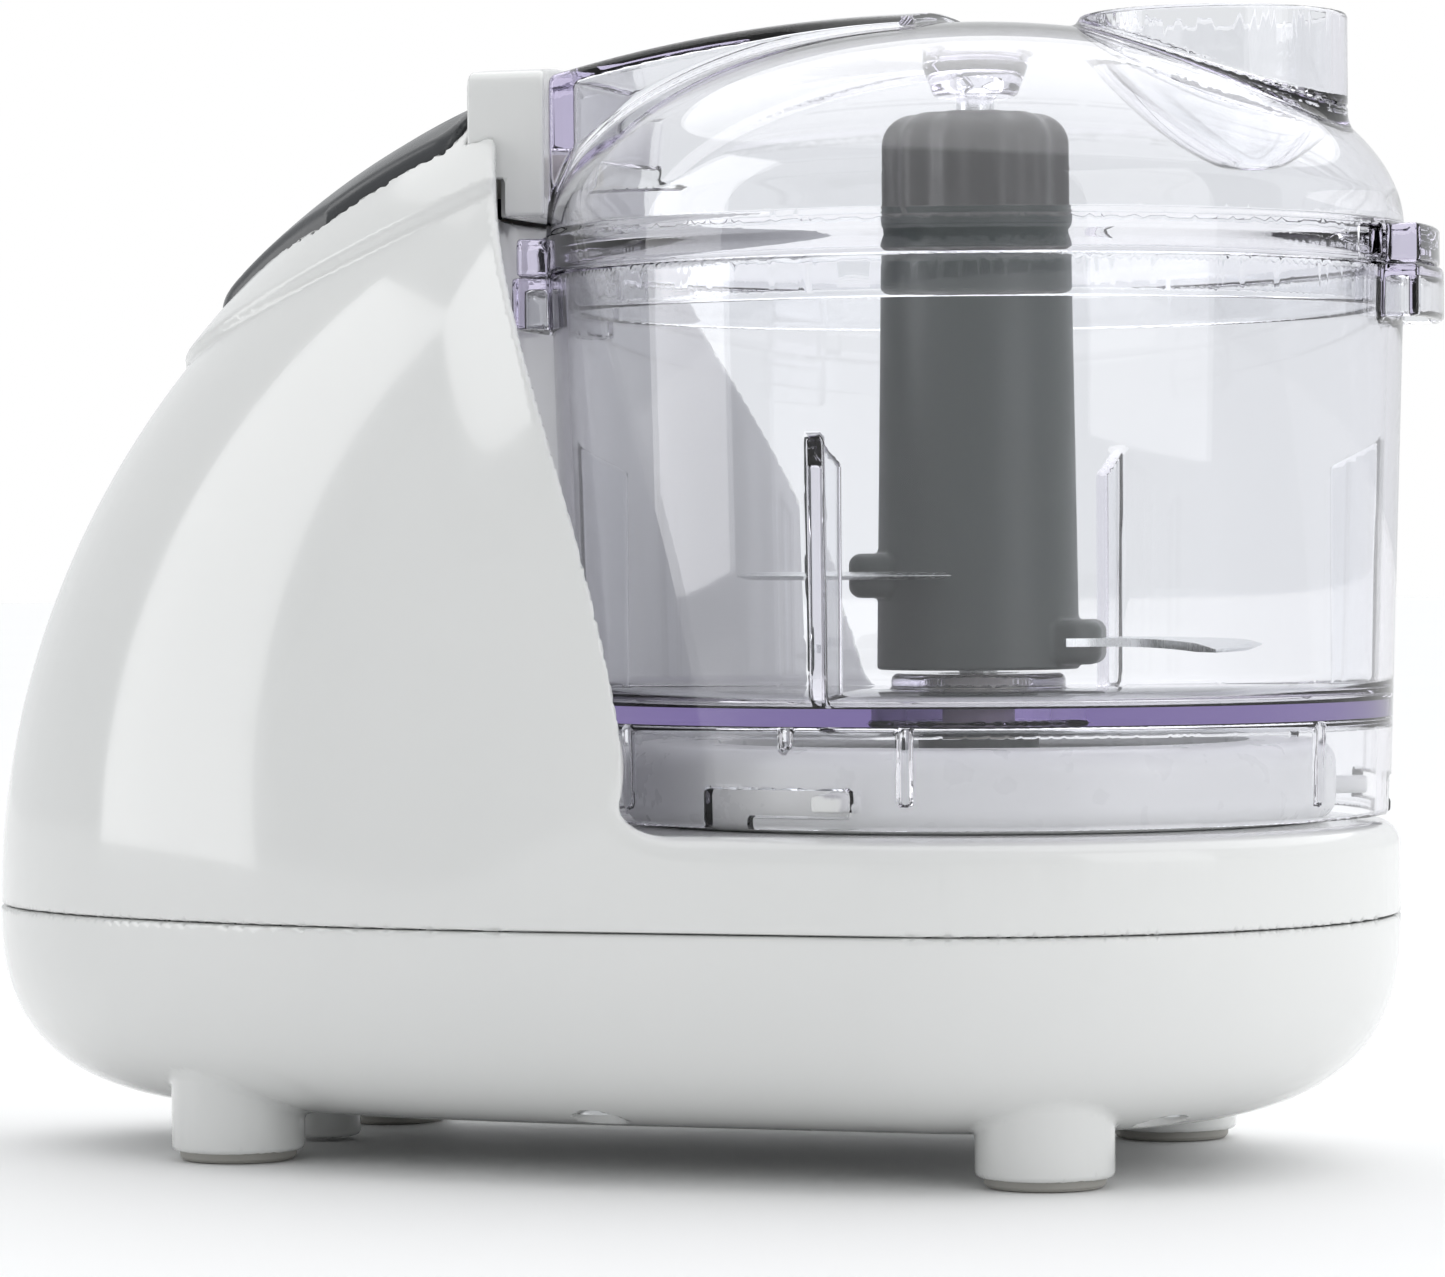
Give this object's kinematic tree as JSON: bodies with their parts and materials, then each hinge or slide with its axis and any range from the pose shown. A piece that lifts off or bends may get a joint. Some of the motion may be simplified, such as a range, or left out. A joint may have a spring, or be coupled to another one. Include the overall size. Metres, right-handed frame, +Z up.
{
  "type": "food processor",
  "caption": "Mini chopper: clear bowl and domed lid on a white body, with a belt-driven spindle, sickle blades, pulse button and lid interlock.",
  "frame": {"origin": "on the table under the middle of the object's whole length and width", "axes": "+X from the motor tower to the bowl, +Z up, -Y the side with the tower on the left and the bowl on the right"},
  "size_m": [0.2262, 0.1276, 0.171],
  "materials": {
    "white_shell": "glossy moulded ABS, warm white",
    "clear_plastic": "clear moulded SAN with a faint violet tint",
    "dark_grip": "satin dark grey moulded plastic",
    "blade_steel": "polished stainless steel",
    "foot_rubber": "matte grey rubber",
    "gland_rubber": "matte white rubber",
    "zinc_steel": "zinc plated steel",
    "bearing_bronze": "sintered bronze and brass",
    "motor_iron": "stacked laminations, lacquered",
    "copper_wire": "enamelled copper wire",
    "bracket_steel": "pressed steel, dull",
    "carbon": "pressed carbon",
    "belt_rubber": "flat black rubber",
    "black_plastic": "black moulded plastic",
    "yellow_film": "film capacitor case",
    "inner_plastic": "natural acetal"
  },
  "bodies": {
    "power_unit": {"base_tub": "white_shell", "upper_casing": "white_shell", "lid_collar": "white_shell", "foot_pads": "foot_rubber", "casing_screws": "zinc_steel", "cord_gland": "gland_rubber", "bowl_seat": "white_shell", "drive_bearing": "bearing_bronze", "motor_chassis": "zinc_steel", "motor_screws": "zinc_steel", "stator_core": "motor_iron", "field_coils": "copper_wire", "lower_bracket": "bracket_steel", "upper_bracket": "bracket_steel", "motor_bushes": "bearing_bronze", "brush_holders": "bearing_bronze", "carbon_brushes": "carbon", "suppressor_capacitor": "yellow_film", "drive_belt": "belt_rubber", "pulse_switch": "black_plastic", "interlock_switch": "black_plastic", "switch_frame": "inner_plastic", "button_pin": "zinc_steel", "button_spring": "zinc_steel"},
    "motor_rotor": {"rotor_shaft": "zinc_steel", "armature_core": "motor_iron", "armature_windings": "copper_wire", "commutator": "copper_wire", "cooling_fan": "inner_plastic", "motor_pulley": "inner_plastic"},
    "blade_drive": {"drive_pulley": "inner_plastic", "drive_shaft": "zinc_steel", "drive_dog": "black_plastic", "driven_dog": "black_plastic", "blade_spindle": "blade_steel", "blade_hub": "dark_grip", "upper_blade": "blade_steel", "lower_blade": "blade_steel"},
    "bowl": {"bowl": "clear_plastic", "spindle_bush": "inner_plastic"},
    "lid": {"lid": "clear_plastic"},
    "pulse_button": {"pulse_button": "dark_grip"},
    "interlock_plunger": {"interlock_plunger": "inner_plastic"}
  },
  "joints": [
    {"name": "bowl_turn", "type": "hinge", "parent": "power_unit", "child": "bowl", "pos_m": [0.0439, 0, 0.06], "axis": [0, 0, 1], "range_deg": [0, 15]},
    {"name": "lid_turn", "type": "hinge", "parent": "bowl", "child": "lid", "pos_m": [0.0439, 0, 0.135], "axis": [0, 0, 1], "range_deg": [0, 30]},
    {"name": "motor_spin", "type": "hinge", "parent": "power_unit", "child": "motor_rotor", "pos_m": [-0.0541, 0, 0.07], "axis": [0, 0, 1], "continuous": true},
    {"name": "blade_spin", "type": "hinge", "parent": "power_unit", "child": "blade_drive", "pos_m": [0.0439, 0, 0.07], "axis": [0, 0, 1], "continuous": true},
    {"name": "pulse_press", "type": "hinge", "parent": "power_unit", "child": "pulse_button", "pos_m": [-0.0686, 0, 0.12731], "axis": [0, 1, 0], "range_deg": [0, 2.5], "stiffness_Nm_per_rad": 2, "springref_deg": -1.72, "deforming": ["button_spring"]},
    {"name": "interlock_press", "type": "slide", "parent": "power_unit", "child": "interlock_plunger", "axis": [1, 0, 0], "range_m": [-0.0025, 0], "stiffness_N_per_m": 300, "springref_m": 0.004}
  ],
  "couplings": [
    {"joint": "blade_spin", "follows": "motor_spin", "ratio": 0.25}
  ]
}
